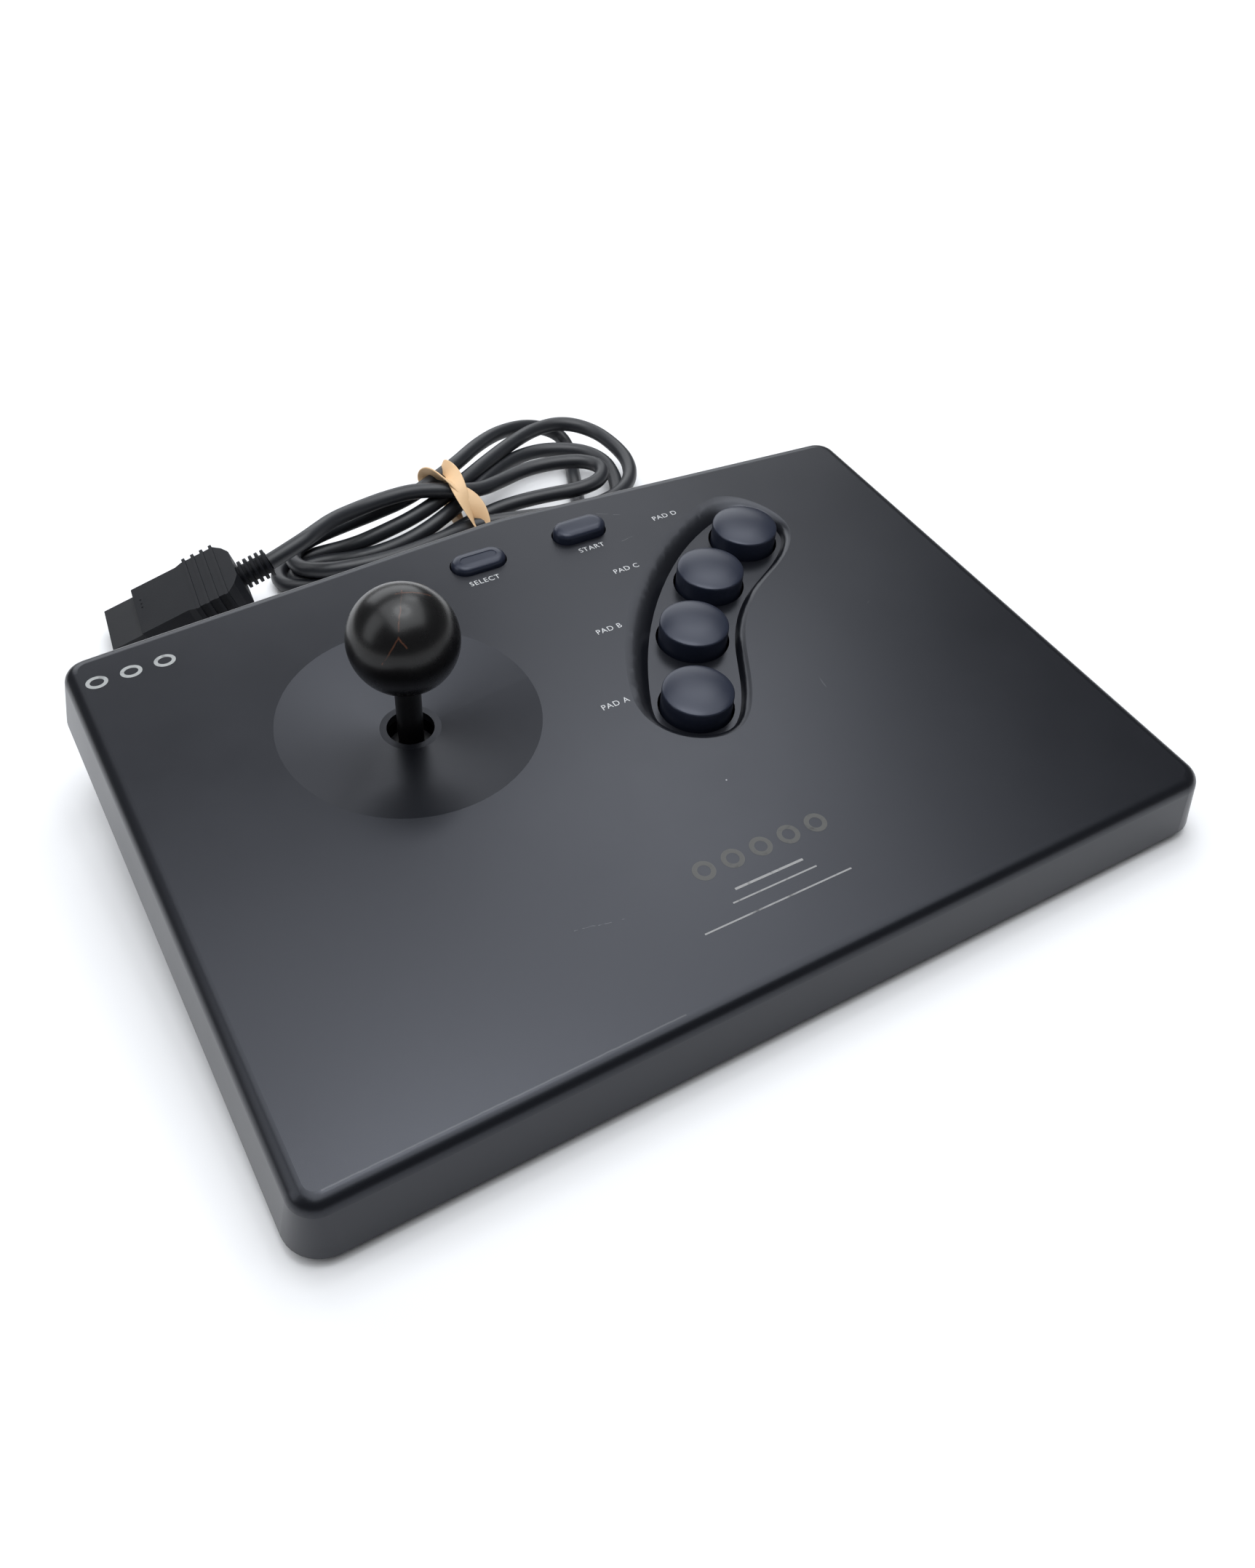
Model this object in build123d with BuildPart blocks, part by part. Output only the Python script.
# Home arcade joystick panel: a sloped case with a ball-top stick on the left,
# four round pads in a curved pocket on the right, two capsule buttons at the
# rear, and a cord tied in a hank behind it that ends in a moulded plug.
# Millimetres. +X is the player's right, +Y is the rear, +Z is up, and the
# rubber feet stand on Z = 0. The deck is modelled on its own sloped plane.
from build123d import *
from math import cos, hypot, pi, radians, sin, tan
import os

os.makedirs("parts", exist_ok=True)

# ---- case
case_width = 280.0        # flat top, left to right
case_depth = 192.0        # flat top, front edge to rear corners
rear_bow = 10.0           # how far the rear edge stands out at its bend
bow_x = 7.5               # where the rear edge bends
deck_tilt = 8.0           # slope of the deck, degrees
slab_height = 18.4        # rim plane to deck, square to the deck
wall_flare = 11.3         # outward lean of the side walls, degrees
wall = 2.5
edge_round = 4.6
corner_round = 10.5
foot_height = 3.0
plate_gap = 0.25          # base flange to shell wall

# ---- stick
stick_x, stick_y = -57.9, 30.2
dish_radius = 38.5
dish_depth = 4.0
dish_floor_radius = 9.0
hole_radius = 7.0
ball_radius = 15.7
ball_height = 30.3        # ball centre above the deck
pivot_w = 4.0             # pivot above the rim plane
shaft_radius = 2.5
sleeve_radius = 3.8
pin_radius = 1.5
run_fit = 0.05            # radial clearance of each running fit
stick_swing = 10.0        # degrees each way, both axes

# ---- pads
pads = [(21.7, -0.6), (37.0, 25.7), (56.4, 46.4), (79.7, 60.9)]
pad_radius = 11.0
pad_proud = 3.7
pad_travel = 3.0
pocket_depth = 3.0
pocket_inner = 13.6       # pocket floor edge from the pad line
pocket_near = 16.6        # pocket rim from the pad line, right and front
pocket_far = 21.5         # pocket rim from the pad line, left and rear
pocket_steps = [(0, 0), (0.45, 0.2), (0.8, 0.45), (0.95, 0.72), (1, 1)]   # depth and width shares of its wall
stem_radius = 2.2
pad_posts = [(2.5, -7.0), (43.0, -9.0), (99.5, 50.0), (66.0, 79.5), (23.0, 51.0)]

# ---- capsule buttons
capsules = [(-8.9, 85.6), (28.7, 85.6)]
capsule_length, capsule_width = 18.8, 9.5
capsule_gap = 0.45
capsule_proud = [2.4, 3.6]
capsule_travel = 1.5
capsule_posts = [(-24.5, 85.6), (9.9, 85.6), (44.2, 85.6)]

# ---- base
pan_inset = 12.0          # base pan walls in from the flat top's edge
pan_front, pan_rear = -86.0, 90.0
pan_floor = 2.5
edge_screws = [(-133.6, -70.0), (-133.6, 5.0), (-133.6, 78.0),
               (133.6, -70.0), (133.6, 5.0), (133.6, 78.0),
               (-62.0, -89.4), (62.0, -89.4), (-62.0, 95.6), (62.0, 95.6)]
foot_spots = [(-108.0, -72.0), (108.0, -72.0), (-108.0, 66.0), (108.0, 66.0)]

# ---- cord, hank and plug
cord_d = 6.0
gland_x, gland_z = 62.0, 14.0
hank_x, hank_y = 24.0, 172.0      # middle of the tie
hank_turn = 11.0                  # long way of the hank from +X, degrees
hank_foot, hank_top = 1.0, 26.0
neck_half = 16.0                  # half width of the hank under the band
neck_run = 16.0                   # length of the straight part under the band
hank_edge = 7.0
band_width, band_thick = 12.0, 1.0
plug_x, plug_y = -105.3, 160.2    # middle of the plug body's front face
plug_yaw, plug_pitch = -7.0, 17.0
plug_width, plug_thick, plug_length = 30.7, 13.0, 38.0
shroud_width, shroud_thick, shroud_length = 26.5, 9.6, 11.9
shroud_wall = 1.3

# ---- derived
flare = slab_height * tan(radians(wall_flare))
tilt_sin, tilt_cos = sin(radians(deck_tilt)), cos(radians(deck_tilt))
rim_front = case_depth / 2 + flare
rim_rear = case_depth / 2 + rear_bow + flare
rim_lift = foot_height + rim_front * tilt_sin
y_shift = (rim_front - rim_rear) * tilt_cos / 2 + 0.11
deck = Plane(origin=(0, y_shift, rim_lift), x_dir=(1, 0, 0),
             z_dir=(0, -tilt_sin, tilt_cos))
deck_up = Axis(deck.origin, deck.z_dir)
half_w, half_d = case_width / 2, case_depth / 2
skin = slab_height - wall             # underside of the plain deck
dish_low = slab_height - dish_depth
dish_under = dish_low - wall
pocket_low = slab_height - pocket_depth
pocket_under = pocket_low - wall
pad_hole = pad_radius + 0.8


def world(x, y, w):
    """Point of the deck's own frame in the object's frame."""
    return (x, y_shift + y * tilt_cos - w * tilt_sin,
            rim_lift + y * tilt_sin + w * tilt_cos)


def case_outline(grow):
    """Corners of the case in plan, moved out by grow."""
    return [(-half_w - grow, -half_d - grow), (half_w + grow, -half_d - grow),
            (half_w + grow, half_d + grow), (bow_x, half_d + rear_bow + grow),
            (-half_w - grow, half_d + grow)]


def pad_line_sides(far, near, end_far, end_near):
    """Closed ring of points round the line of pads."""
    spans = []
    for i, (x, y) in enumerate(pads):
        x0, y0 = pads[max(i - 1, 0)]
        x1, y1 = pads[min(i + 1, len(pads) - 1)]
        run = hypot(x1 - x0, y1 - y0)
        spans.append((x, y, (x1 - x0) / run, (y1 - y0) / run))
    ring = [(x - dy * far, y + dx * far) for x, y, dx, dy in spans]
    x, y, dx, dy = spans[0]
    first = near + 0.62 * (far - near)      # the wide side draws in beside the first pad
    ring[0] = (x - dy * first, y + dx * first)
    x, y, dx, dy = spans[-1]
    ring.append((x + (dx - dy) * end_far * 0.72, y + (dy + dx) * end_far * 0.72))
    ring.append((x + dx * end_near, y + dy * end_near))
    ring.append((x + (dx + dy) * near * 0.72, y + (dy - dx) * near * 0.72))
    ring += [(x + dy * near, y - dx * near) for x, y, dx, dy in reversed(spans)]
    x, y, dx, dy = spans[0]
    ring.append((x - (dx - dy) * near * 0.72, y - (dy + dx) * near * 0.72))
    ring.append((x - dx * near, y - dy * near))
    ring.append((x - (dx + dy) * near * 0.74, y - (dy - dx) * near * 0.74))
    return ring


# ================================================================ case
with BuildPart(deck) as top_shell:
    with BuildSketch(deck):
        with BuildLine():
            Polyline(*case_outline(flare), close=True)
        make_face()
        bend = vertices().sort_by(Axis.Y)[-1]
        fillet([v for v in vertices() if v != bend], corner_round)
        fillet(vertices().sort_by(Axis.Y)[-1], 90.0)
    extrude(amount=slab_height, taper=wall_flare)
    fillet(faces().sort_by(deck_up)[-1].edges(), edge_round)
    with BuildSketch(deck):
        with BuildLine():
            Polyline(*case_outline(flare - wall), close=True)
        make_face()
        bend = vertices().sort_by(Axis.Y)[-1]
        fillet([v for v in vertices() if v != bend], corner_round - wall)
        fillet(vertices().sort_by(Axis.Y)[-1], 90.0)
    extrude(amount=skin, taper=wall_flare, mode=Mode.SUBTRACT)
    # material under the dish, under the pocket, and the screw posts
    with Locations((stick_x, stick_y, dish_under)):
        Cone(dish_floor_radius + 9.0, dish_radius + 1.0, skin - dish_under,
             align=(Align.CENTER, Align.CENTER, Align.MIN))
    with BuildSketch(deck.offset(pocket_under)):
        with BuildLine():
            Spline(*pad_line_sides(pocket_far - 2.0, pocket_near + 1.0,
                                   pocket_far - 2.0, pocket_near + 1.0), periodic=True)
        make_face()
    extrude(amount=skin - pocket_under + 0.2)
    with Locations(*[(stick_x + sx * 19.0, stick_y + sy * 19.0, dish_under)
                     for sx in (-1, 1) for sy in (-1, 1)]):
        Cylinder(3.5, 3.6, align=(Align.CENTER, Align.CENTER, Align.MIN))
    with Locations(*[(x, y, 5.0) for x, y in pad_posts]):
        Cylinder(3.4, skin - 4.8, align=(Align.CENTER, Align.CENTER, Align.MIN))
    with Locations(*[(x, y, 9.0) for x, y in capsule_posts]):
        Cylinder(3.4, skin - 8.8, align=(Align.CENTER, Align.CENTER, Align.MIN))
    with Locations(*[(x, y, wall) for x, y in edge_screws]):
        Cylinder(3.4, skin - wall + 0.2, align=(Align.CENTER, Align.CENTER, Align.MIN))
    # dish and its hole
    with Locations((stick_x, stick_y, dish_low)):
        Cone(dish_floor_radius, dish_radius, dish_depth,
             align=(Align.CENTER, Align.CENTER, Align.MIN), mode=Mode.SUBTRACT)
    with Locations((stick_x, stick_y, 0)):
        Cylinder(hole_radius, 60, mode=Mode.SUBTRACT)
    # pocket with one gentle side and a soft rim
    for height, share in pocket_steps:
        with BuildSketch(deck.offset(slab_height - pocket_depth * (1 - height))):
            with BuildLine():
                Spline(*pad_line_sides(
                    pocket_inner + share * (pocket_far - pocket_inner),
                    pocket_inner + share * (pocket_near - pocket_inner),
                    pocket_inner + share * (pocket_far - pocket_inner),
                    pocket_inner + share * (pocket_near + 1.5 - pocket_inner)), periodic=True)
            make_face()
    loft(mode=Mode.SUBTRACT)
    with Locations(*[(x, y, pocket_low) for x, y in pads]):
        Cylinder(pad_hole, 12, mode=Mode.SUBTRACT)
    with BuildSketch(deck.offset(skin - 1.0)):
        with Locations(*capsules):
            SlotOverall(capsule_length + 2 * capsule_gap, capsule_width + 2 * capsule_gap)
    extrude(amount=wall + 2.0, mode=Mode.SUBTRACT)
    # screw holes in the posts
    with Locations(*[(x, y, wall) for x, y in edge_screws]):
        Cylinder(1.3, 9.0, align=(Align.CENTER, Align.CENTER, Align.MIN),
                 mode=Mode.SUBTRACT)
    with Locations(*[(x, y, 5.0) for x, y in pad_posts]):
        Cylinder(1.3, 7.0, align=(Align.CENTER, Align.CENTER, Align.MIN),
                 mode=Mode.SUBTRACT)
    with Locations(*[(x, y, 9.0) for x, y in capsule_posts]):
        Cylinder(1.3, 5.0, align=(Align.CENTER, Align.CENTER, Align.MIN),
                 mode=Mode.SUBTRACT)
    with Locations(*[(stick_x + sx * 19.0, stick_y + sy * 19.0, dish_under)
                     for sx in (-1, 1) for sy in (-1, 1)]):
        Cylinder(1.3, 3.0, align=(Align.CENTER, Align.CENTER, Align.MIN),
                 mode=Mode.SUBTRACT)
top_shell.part.label = "top_shell"
export_step(top_shell.part, "parts/top_shell.step")

pan_y0, pan_z0 = world(0, pan_front, 0)[1:]
pan_y1, pan_z1 = world(0, pan_rear, 0)[1:]
pan_half = half_w - pan_inset
flange_grow = flare - wall - plate_gap - wall * tan(radians(wall_flare))
with BuildPart() as base_pan:
    with BuildSketch(Plane.YZ.offset(-pan_half)):
        with BuildLine():
            Polyline((pan_y0, foot_height), (pan_y1, foot_height), (pan_y1, pan_z1),
                     (pan_y0, pan_z0), close=True)
        make_face()
    extrude(amount=2 * pan_half)
    fillet(edges().filter_by(Axis.Z).sort_by(Axis.Y)[-2:], 8.0)
    with BuildSketch(deck):
        with BuildLine():
            Polyline(*case_outline(flange_grow), close=True)
        make_face()
        bend = vertices().sort_by(Axis.Y)[-1]
        fillet([v for v in vertices() if v != bend], corner_round - wall)
        fillet(vertices().sort_by(Axis.Y)[-1], 90.0)
    extrude(amount=wall)
    with Locations((0, (pan_y0 + 12.0 + pan_y1 - wall) / 2, foot_height + pan_floor)):
        Box(2 * (pan_half - wall), pan_y1 - wall - pan_y0 - 12.0, 60,
            align=(Align.CENTER, Align.CENTER, Align.MIN), mode=Mode.SUBTRACT)
    with Locations((gland_x, pan_y1, gland_z)):
        Cylinder(4.5, 12, rotation=(90, 0, 0), mode=Mode.SUBTRACT)
    with Locations(*[deck.location * Location((x, y, 0)) for x, y in edge_screws]):
        Cylinder(1.3, 14, mode=Mode.SUBTRACT)
base_pan.part.label = "base_pan"
export_step(base_pan.part, "parts/base_pan.step")

with BuildPart(deck) as base_screws:
    with Locations(*[(x, y, 0) for x, y in edge_screws]):
        Cylinder(2.7, 1.3, align=(Align.CENTER, Align.CENTER, Align.MAX))
        Cylinder(1.3, 10.5, align=(Align.CENTER, Align.CENTER, Align.MIN))
    with Locations(*[(x, y, -1.3) for x, y in edge_screws]):
        Box(3.2, 0.6, 0.5, align=(Align.CENTER, Align.CENTER, Align.MIN),
            mode=Mode.SUBTRACT)
base_screws.part.label = "base_screws"
export_step(base_screws.part, "parts/base_screws.step")

with BuildPart() as rubber_feet:
    with Locations(*[(x, y, 0) for x, y in foot_spots]):
        Cone(6.0, 6.8, foot_height, align=(Align.CENTER, Align.CENTER, Align.MIN))
rubber_feet.part.label = "rubber_feet"
export_step(rubber_feet.part, "parts/rubber_feet.step")

# ================================================================ stick
house_half, house_in = 27.0, 23.0
house_low = -4.0
house_roof = dish_under - 2.2
with BuildPart(deck) as stick_housing:
    with Locations((stick_x, stick_y, house_low)):
        Box(2 * house_half, 2 * house_half, dish_under - house_low,
            align=(Align.CENTER, Align.CENTER, Align.MIN))
        Box(2 * house_in, 2 * house_in, house_roof - house_low,
            align=(Align.CENTER, Align.CENTER, Align.MIN), mode=Mode.SUBTRACT)
    with Locations((stick_x, stick_y, dish_under)):
        Cylinder(8.5, 10, mode=Mode.SUBTRACT)
    with Locations((stick_x, stick_y, pivot_w)):
        Cylinder(pin_radius + run_fit, 2 * house_half + 2, rotation=(0, 90, 0),
                 mode=Mode.SUBTRACT)
    with Locations(*[(stick_x + sx * 19.0, stick_y + sy * 19.0, house_roof)
                     for sx in (-1, 1) for sy in (-1, 1)]):
        Cylinder(1.3, 10, mode=Mode.SUBTRACT)
stick_housing.part.label = "stick_housing"
export_step(stick_housing.part, "parts/stick_housing.step")

with BuildPart(deck) as stick_mount_screws:
    with Locations(*[(stick_x + sx * 19.0, stick_y + sy * 19.0, house_roof)
                     for sx in (-1, 1) for sy in (-1, 1)]):
        Cylinder(2.6, 1.4, align=(Align.CENTER, Align.CENTER, Align.MAX))
        Cylinder(1.3, 2.2 + 2.8, align=(Align.CENTER, Align.CENTER, Align.MIN))
stick_mount_screws.part.label = "stick_mount_screws"
export_step(stick_mount_screws.part, "parts/stick_mount_screws.step")

gate_thick = 1.5
gate_low = house_low - gate_thick
with BuildPart(deck) as restrictor_gate:
    with Locations((stick_x, stick_y, gate_low)):
        Box(2 * house_half, 2 * house_half, gate_thick,
            align=(Align.CENTER, Align.CENTER, Align.MIN))
        Box(10.0, 10.0, 10, mode=Mode.SUBTRACT)
restrictor_gate.part.label = "restrictor_gate"
export_step(restrictor_gate.part, "parts/restrictor_gate.step")

ring_out, ring_in, ring_h = 15.0, 11.0, 5.0
with BuildPart(deck) as gimbal_ring:
    with Locations((stick_x, stick_y, pivot_w)):
        Cylinder(ring_out, ring_h)
        Cylinder(ring_in, ring_h, mode=Mode.SUBTRACT)
    with Locations((stick_x - 20.0, stick_y, pivot_w), (stick_x + 20.0, stick_y, pivot_w)):
        Cylinder(pin_radius, 13.0, rotation=(0, 90, 0))
    with Locations((stick_x, stick_y, pivot_w)):
        Cylinder(pin_radius + run_fit, 2 * ring_out + 2, rotation=(90, 0, 0),
                 mode=Mode.SUBTRACT)
gimbal_ring.part.label = "gimbal_ring"
export_step(gimbal_ring.part, "parts/gimbal_ring.step")

hub_h = 7.0
with BuildPart(deck) as stick_hub:
    with Locations((stick_x, stick_y, pivot_w)):
        Cylinder(6.5, hub_h)
    with Locations((stick_x, stick_y - 10.3, pivot_w), (stick_x, stick_y + 10.3, pivot_w)):
        Cylinder(pin_radius, 8.6, rotation=(90, 0, 0))
    with Locations((stick_x, stick_y, pivot_w)):
        Cylinder(shaft_radius, 40, mode=Mode.SUBTRACT)
stick_hub.part.label = "stick_hub"
export_step(stick_hub.part, "parts/stick_hub.step")

ball_w = slab_height + ball_height
shaft_low = -11.8
sleeve_low = pivot_w + hub_h / 2
sleeve_top = ball_w - ball_radius + 1.2
with BuildPart(deck) as stick_shaft:
    with Locations((stick_x, stick_y, shaft_low)):
        Cylinder(shaft_radius, ball_w + 6.0 - shaft_low,
                 align=(Align.CENTER, Align.CENTER, Align.MIN))
    chamfer(edges().filter_by(GeomType.CIRCLE).sort_by(deck_up)[0], 0.5)
stick_shaft.part.label = "stick_shaft"
export_step(stick_shaft.part, "parts/stick_shaft.step")

with BuildPart(deck) as shaft_sleeve:
    with Locations((stick_x, stick_y, sleeve_low)):
        Cylinder(sleeve_radius, sleeve_top - sleeve_low,
                 align=(Align.CENTER, Align.CENTER, Align.MIN))
        Cylinder(shaft_radius, sleeve_top - sleeve_low,
                 align=(Align.CENTER, Align.CENTER, Align.MIN), mode=Mode.SUBTRACT)
shaft_sleeve.part.label = "shaft_sleeve"
export_step(shaft_sleeve.part, "parts/shaft_sleeve.step")

with BuildPart(deck) as ball_top:
    with Locations((stick_x, stick_y, ball_w)):
        Sphere(ball_radius)
    with Locations((stick_x, stick_y, ball_w - ball_radius - 2.0)):
        Cylinder(sleeve_radius, sleeve_top - ball_w + ball_radius + 2.0,
                 align=(Align.CENTER, Align.CENTER, Align.MIN), mode=Mode.SUBTRACT)
    with Locations((stick_x, stick_y, ball_w - ball_radius)):
        Cylinder(shaft_radius, ball_radius + 6.0,
                 align=(Align.CENTER, Align.CENTER, Align.MIN), mode=Mode.SUBTRACT)
ball_top.part.label = "ball_top"
export_step(ball_top.part, "parts/ball_top.step")

actuator_top = gate_low - 1.9
with BuildPart(deck) as actuator:
    with Locations((stick_x, stick_y, actuator_top)):
        Cylinder(6.0, 3.0, align=(Align.CENTER, Align.CENTER, Align.MAX))
        Cylinder(shaft_radius, 3.0, align=(Align.CENTER, Align.CENTER, Align.MAX),
                 mode=Mode.SUBTRACT)
actuator.part.label = "actuator"
export_step(actuator.part, "parts/actuator.step")

with BuildPart(deck) as retaining_clip:
    with Locations((stick_x, stick_y, actuator_top - 3.0)):
        Cylinder(4.2, 0.7, align=(Align.CENTER, Align.CENTER, Align.MAX))
        Cylinder(shaft_radius, 0.7, align=(Align.CENTER, Align.CENTER, Align.MAX),
                 mode=Mode.SUBTRACT)
    with Locations((stick_x + 3.6, stick_y, actuator_top - 3.0)):
        Box(3.0, 2.6, 3.0, mode=Mode.SUBTRACT)
retaining_clip.part.label = "retaining_clip"
export_step(retaining_clip.part, "parts/retaining_clip.step")

with BuildPart(deck) as centring_spring:
    spring_wire = 0.35
    spring_from = house_low + 3 * spring_wire
    spring_to = pivot_w - hub_h / 2 - 3 * spring_wire
    with BuildLine(Plane(deck.location * Location((stick_x, stick_y, spring_from)))):
        coil = Helix(pitch=(spring_to - spring_from) / 3, height=spring_to - spring_from,
                     radius=5.6)
    with BuildSketch(Plane(coil @ 0, z_dir=coil % 0)):
        Circle(spring_wire)
    sweep(path=coil)
centring_spring.part.label = "centring_spring"
export_step(centring_spring.part, "parts/centring_spring.step")

switch_in, switch_len, switch_wide, switch_deep = 9.8, 6.0, 11.0, 4.6
for name, sx, sy in (("right", 1, 0), ("left", -1, 0), ("rear", 0, 1), ("front", 0, -1)):
    reach = switch_in + switch_len / 2
    with BuildPart(deck) as direction_switch:
        with Locations((stick_x + sx * reach, stick_y + sy * reach, gate_low)):
            Box(switch_len if sx else switch_wide, switch_wide if sx else switch_len,
                switch_deep, align=(Align.CENTER, Align.CENTER, Align.MAX))
        fillet(edges().filter_by(lambda e: e.length < switch_deep + 0.1
                                 and e.length > switch_deep - 0.1), 0.5)
    direction_switch.part.label = "direction_switch_" + name
    export_step(direction_switch.part, "parts/direction_switch_" + name + ".step")

with BuildPart(deck) as switch_levers:
    for sx, sy in ((1, 0), (-1, 0), (0, 1), (0, -1)):
        reach = switch_in - 0.9
        with Locations((stick_x + sx * reach, stick_y + sy * reach, gate_low)):
            Box(0.4 if sx else 8.0, 8.0 if sx else 0.4, 3.8,
                align=(Align.CENTER, Align.CENTER, Align.MAX))
        reach = switch_in - 0.35
        with Locations((stick_x + sx * reach, stick_y + sy * reach, gate_low - 1.0)):
            Box(0.7 if sx else 1.6, 1.6 if sx else 0.7, 1.6,
                align=(Align.CENTER, Align.CENTER, Align.MAX))
switch_levers.part.label = "switch_levers"
export_step(switch_levers.part, "parts/switch_levers.step")

# ================================================================ pads
frame_top, frame_thick = 5.0, 2.0
board_top, board_thick = -3.0, 1.6
with BuildPart(deck) as pad_frame:
    with BuildSketch(deck.offset(frame_top)):
        with Locations(*pads):
            Circle(13.0)
        with Locations(*pad_posts):
            Circle(4.0)
        make_hull()
    extrude(amount=-frame_thick)
    with Locations(*[(x, y, board_top) for x, y in pad_posts]):
        Cylinder(3.0, frame_top - board_top, align=(Align.CENTER, Align.CENTER, Align.MIN))
        Cylinder(1.3, frame_top - board_top, align=(Align.CENTER, Align.CENTER, Align.MIN),
                 mode=Mode.SUBTRACT)
    with Locations(*[(x, y, frame_top) for x, y in pads]):
        Cylinder(stem_radius + run_fit, 10, mode=Mode.SUBTRACT)
pad_frame.part.label = "pad_frame"
export_step(pad_frame.part, "parts/pad_frame.step")

with BuildPart(deck) as pad_board:
    with BuildSketch(deck.offset(board_top)):
        with Locations(*pads):
            Circle(9.0)
        with Locations(*pad_posts):
            Circle(4.0)
        make_hull()
    extrude(amount=-board_thick)
    with Locations(*[(x, y, board_top) for x, y in pad_posts]):
        Cylinder(1.3, 10, mode=Mode.SUBTRACT)
pad_board.part.label = "pad_board"
export_step(pad_board.part, "parts/pad_board.step")

with BuildPart(deck) as pad_switches:
    with Locations(*[(x, y, board_top) for x, y in pads]):
        Box(6.2, 6.2, 1.2, align=(Align.CENTER, Align.CENTER, Align.MIN))
pad_switches.part.label = "pad_switches"
export_step(pad_switches.part, "parts/pad_switches.step")

with BuildPart(deck) as pad_screws:
    with Locations(*[(x, y, board_top - board_thick) for x, y in pad_posts]):
        Cylinder(2.6, 1.4, align=(Align.CENTER, Align.CENTER, Align.MAX))
        Cylinder(1.3, 6.5 + frame_top - board_top + board_thick,
                 align=(Align.CENTER, Align.CENTER, Align.MIN))
pad_screws.part.label = "pad_screws"
export_step(pad_screws.part, "parts/pad_screws.step")

pad_top = slab_height + pad_proud
flange_top = pocket_under - 0.3
stem_low = board_top + 1.2 + pad_travel + 0.2
for name, (px, py) in zip("abcd", pads):
    with BuildPart(deck) as pad:
        with Locations((px, py, flange_top - 1.6)):
            Cylinder(pad_radius + 1.6, 1.6, align=(Align.CENTER, Align.CENTER, Align.MIN))
            Cylinder(pad_radius, pad_top - flange_top + 1.6,
                     align=(Align.CENTER, Align.CENTER, Align.MIN))
        rim = edges().filter_by(GeomType.CIRCLE).sort_by(deck_up)[-1]
        fillet(rim, 1.1)
        with Locations((px, py, flange_top - 1.6)):
            Cylinder(pad_radius - 1.6, pad_top - 2.0 - flange_top + 1.6,
                     align=(Align.CENTER, Align.CENTER, Align.MIN), mode=Mode.SUBTRACT)
        with Locations((px, py, stem_low)):
            Cylinder(stem_radius, pad_top - 1.9 - stem_low,
                     align=(Align.CENTER, Align.CENTER, Align.MIN))
    pad.part.label = "pad_" + name
    export_step(pad.part, "parts/pad_" + name + ".step")
    with BuildPart(deck) as pad_spring:
        wire = 0.35
        low, high = frame_top + 2 * wire, pad_top - 2.0 - 2 * wire
        with BuildLine(Plane(deck.location * Location((px, py, low)))):
            coil = Helix(pitch=(high - low) / 5, height=high - low, radius=5.0)
        with BuildSketch(Plane(coil @ 0, z_dir=coil % 0)):
            Circle(wire)
        sweep(path=coil)
    pad_spring.part.label = "pad_spring_" + name
    export_step(pad_spring.part, "parts/pad_spring_" + name + ".step")

# ================================================================ capsule buttons
aux_top, aux_thick = 9.0, 1.6
with BuildPart(deck) as capsule_board:
    with Locations(((capsule_posts[0][0] + capsule_posts[-1][0]) / 2, 85.6, aux_top)):
        Box(capsule_posts[-1][0] - capsule_posts[0][0] + 9.0, 12.0, aux_thick,
            align=(Align.CENTER, Align.CENTER, Align.MAX))
    with Locations(*[(x, y, aux_top) for x, y in capsule_posts]):
        Cylinder(1.3, 10, mode=Mode.SUBTRACT)
capsule_board.part.label = "capsule_board"
export_step(capsule_board.part, "parts/capsule_board.step")

with BuildPart(deck) as capsule_screws:
    with Locations(*[(x, y, aux_top - aux_thick) for x, y in capsule_posts]):
        Cylinder(2.6, 1.4, align=(Align.CENTER, Align.CENTER, Align.MAX))
        Cylinder(1.3, 4.5 + aux_thick, align=(Align.CENTER, Align.CENTER, Align.MIN))
capsule_screws.part.label = "capsule_screws"
export_step(capsule_screws.part, "parts/capsule_screws.step")

button_low = skin - 0.3 - 1.8
for name, (px, py), proud in zip(("select", "start"), capsules, capsule_proud):
    with BuildPart(deck) as capsule:
        with BuildSketch(deck.offset(button_low)):
            with Locations((px, py)):
                SlotOverall(capsule_length + 3.4, capsule_width + 3.4)
        extrude(amount=1.8)
        with BuildSketch(deck.offset(button_low)):
            with Locations((px, py)):
                SlotOverall(capsule_length, capsule_width)
        extrude(amount=slab_height + proud - button_low)
        fillet(faces().sort_by(deck_up)[-1].edges(), 2.3)
    capsule.part.label = name + "_button"
    export_step(capsule.part, "parts/" + name + "_button.step")
    with BuildPart(deck) as dome:
        with Locations((px, py, aux_top)):
            Cone(4.4, 2.6, button_low - aux_top,
                 align=(Align.CENTER, Align.CENTER, Align.MIN))
    dome.part.label = name + "_dome"
    export_step(dome.part, "parts/" + name + "_dome.step")

# ================================================================ cord
gland_reach = 16.0
gland_end = pan_y1 + gland_reach
with BuildPart() as cable_gland:
    with Locations((gland_x, pan_y1, gland_z)):
        Cylinder(7.0, 2.0, rotation=(-90, 0, 0),
                 align=(Align.CENTER, Align.CENTER, Align.MIN))
        Cylinder(4.5, wall, rotation=(90, 0, 0),
                 align=(Align.CENTER, Align.CENTER, Align.MIN))
    with Locations((gland_x, pan_y1 - wall, gland_z)):
        Cylinder(6.2, 2.0, rotation=(90, 0, 0),
                 align=(Align.CENTER, Align.CENTER, Align.MIN))
    with Locations((gland_x, pan_y1 + 2.0, gland_z)):
        Cone(5.6, 4.2, gland_reach - 2.0, rotation=(-90, 0, 0),
             align=(Align.CENTER, Align.CENTER, Align.MIN))
cable_gland.part.label = "cable_gland"
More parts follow.
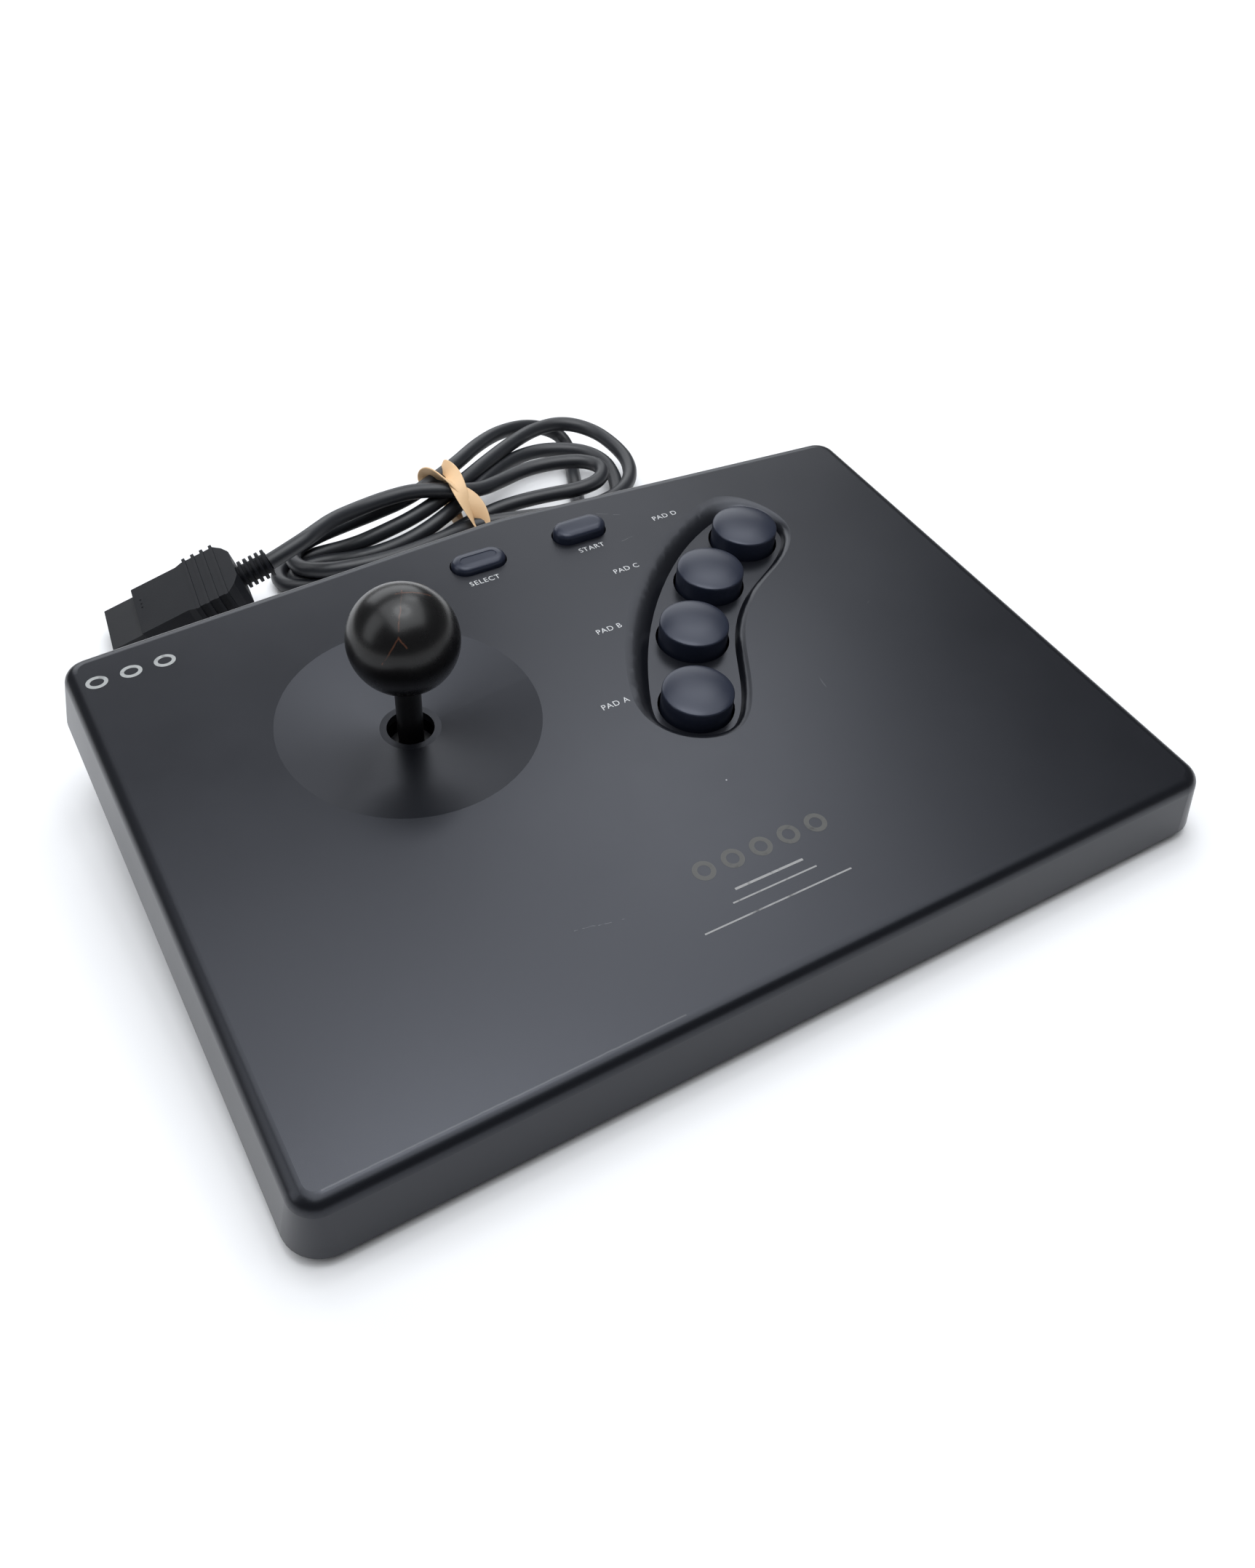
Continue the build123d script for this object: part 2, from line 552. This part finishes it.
export_step(cable_gland.part, "parts/cable_gland.step")

hank_plane = Plane(origin=(hank_x, hank_y, 0),
                   x_dir=(cos(radians(hank_turn)), sin(radians(hank_turn)), 0),
                   z_dir=(0, 0, 1))
neck_u = neck_run / 2
right_lobe = [(neck_u, neck_half), (36, 34), (60, 41), (81, 24), (82, -2), (62, -28),
              (34, -25), (neck_u, -neck_half)]
left_lobe = [(-neck_u, -neck_half), (-34, -19), (-62, -17), (-77, 2), (-64, 18),
             (-34, 19), (-neck_u, neck_half)]
with BuildPart() as cord_hank:
    with BuildSketch(hank_plane.offset(hank_foot)):
        with BuildLine():
            Line(left_lobe[-1], right_lobe[0])
            Spline(*right_lobe, tangents=[(1, 0), (-1, 0)])
            Line(right_lobe[-1], left_lobe[0])
            Spline(*left_lobe, tangents=[(-1, 0), (1, 0)])
        make_face()
    extrude(amount=hank_top - hank_foot)
    fillet(faces().sort_by(Axis.Z)[-1].edges(), hank_edge)
    fillet(faces().sort_by(Axis.Z)[0].edges(), hank_edge)
cord_hank.part.label = "cord_hank"
export_step(cord_hank.part, "parts/cord_hank.step")

with BuildPart() as hank_band:
    section = Plane(origin=(hank_x, hank_y, (hank_foot + hank_top) / 2),
                    x_dir=(-sin(radians(hank_turn)), cos(radians(hank_turn)), 0),
                    z_dir=(cos(radians(hank_turn)), sin(radians(hank_turn)), 0))
    with BuildSketch(section):
        RectangleRounded(2 * (neck_half + band_thick), hank_top - hank_foot + 2 * band_thick,
                         hank_edge + band_thick)
        RectangleRounded(2 * neck_half, hank_top - hank_foot, hank_edge,
                         mode=Mode.SUBTRACT)
    extrude(amount=band_width / 2, both=True)
hank_band.part.label = "hank_band"
export_step(hank_band.part, "parts/hank_band.step")

# plug: its own frame runs from the body's front face towards the cord
yaw, pitch = radians(plug_yaw), radians(plug_pitch)
plug_axis = (cos(yaw) * cos(pitch), sin(yaw) * cos(pitch), sin(pitch))
plug_z = shroud_thick / 2 * cos(pitch) + shroud_length * sin(pitch)
plug_up = (-cos(yaw) * sin(pitch), -sin(yaw) * sin(pitch), cos(pitch))
plug = Plane(origin=(plug_x, plug_y, plug_z), x_dir=plug_axis, z_dir=plug_up)
grip_half = plug_width / 2 + 1.2
with BuildPart(plug) as plug_body:
    with BuildSketch(plug):
        with BuildLine():
            Polyline((0, plug_width / 2), (17.8, plug_width / 2), (20.4, grip_half),
                     (33.2, grip_half), (plug_length - 2.0, grip_half - 3.6),
                     (plug_length, 8.5), (plug_length, -8.5),
                     (plug_length - 2.0, 3.6 - grip_half), (33.2, -grip_half),
                     (20.4, -grip_half), (17.8, -plug_width / 2),
                     (0, -plug_width / 2), close=True)
        make_face()
    extrude(amount=plug_thick / 2, both=True)
    fillet(edges().filter_by(lambda e: abs(e.length - plug_thick) < 0.01), 0.5)
    with Locations(*[(21.6 + 3.6 * i, 0, 0) for i in range(4)]):
        Box(1.2, 2 * grip_half + 2.4, plug_thick + 1.0)
plug_body.part.label = "plug_body"
export_step(plug_body.part, "parts/plug_body.step")

with BuildPart(plug) as plug_shroud:
    with Locations((0, 0, 0)):
        Box(shroud_length, shroud_width, shroud_thick,
            align=(Align.MAX, Align.CENTER, Align.CENTER))
        Box(shroud_length, shroud_width - 2 * shroud_wall, shroud_thick - 2 * shroud_wall,
            align=(Align.MAX, Align.CENTER, Align.CENTER), mode=Mode.SUBTRACT)
plug_shroud.part.label = "plug_shroud"
export_step(plug_shroud.part, "parts/plug_shroud.step")

with BuildPart(plug) as plug_insert:
    with Locations((0, 0, 0)):
        Box(shroud_length - 1.2, shroud_width - 2 * shroud_wall,
            shroud_thick - 2 * shroud_wall, align=(Align.MAX, Align.CENTER, Align.CENTER))
    sockets = [(-shroud_length + 1.2, (i - 3.5) * 2.75, 1.45) for i in range(8)]
    sockets += [(-shroud_length + 1.2, (i - 3.0) * 2.75, -1.45) for i in range(7)]
    with Locations(*sockets):
        Cylinder(0.6, 5.0, rotation=(0, 90, 0),
                 align=(Align.CENTER, Align.CENTER, Align.MIN), mode=Mode.SUBTRACT)
plug_insert.part.label = "plug_insert"
export_step(plug_insert.part, "parts/plug_insert.step")

relief_length = 11.5
with BuildPart(plug) as plug_relief:
    with Locations((plug_length, 0, 0)):
        Cylinder(3.7, relief_length, rotation=(0, 90, 0),
                 align=(Align.CENTER, Align.CENTER, Align.MIN))
    with Locations(*[(plug_length + 1.0 + 2.3 * i, 0, 0) for i in range(5)]):
        Cylinder(5.2, 1.0, rotation=(0, 90, 0),
                 align=(Align.CENTER, Align.CENTER, Align.MIN))
plug_relief.part.label = "plug_relief"
export_step(plug_relief.part, "parts/plug_relief.step")


def cord_radii(points):
    """Bend radius at each inner point: 0.45 of the shorter run over tan(half turn)."""
    radii = []
    for a, b, c in zip(points, points[1:], points[2:]):
        run_in = Vector(*b) - Vector(*a)
        run_out = Vector(*c) - Vector(*b)
        turn = radians(run_in.get_angle(run_out))
        radii.append(0.45 * min(run_in.length, run_out.length) / tan(turn / 2))
    return radii


relief_end = Vector(plug_x, plug_y, plug_z) + Vector(*plug_axis) * (plug_length + relief_length)
tail_mid = relief_end + Vector(*plug_axis) * 14.0
tail_end = tail_mid + Vector(0.949, 0.306, -0.08).normalized() * 13.0
tail_points = [tuple(relief_end), tuple(tail_mid), tuple(tail_end)]
lead_points = [(gland_x, gland_end, gland_z), (gland_x, gland_end + 24.0, gland_z),
               (gland_x + 5.0, gland_end + 58.0, gland_z - 5.0)]
for name, points in (("cord_lead", lead_points), ("cord_tail", tail_points)):
    radii = cord_radii(points)
    print(name, "bend radii", [round(r, 1) for r in radii])
    with BuildPart() as cord:
        with BuildLine():
            path = FilletPolyline(*points, radius=radii)
        with BuildSketch(Plane(points[0], z_dir=path % 0)):
            Circle(cord_d / 2)
        sweep(path=path)
    cord.part.label = name
    export_step(cord.part, "parts/" + name + ".step")
    print(name, "volume", round(cord.part.volume, 1), "section x length",
          round(pi * cord_d ** 2 / 4 * path.length, 1))
print("tail", [tuple(round(c, 1) for c in p) for p in tail_points])
print("world pivot", [round(c, 3) for c in world(stick_x, stick_y, pivot_w)])
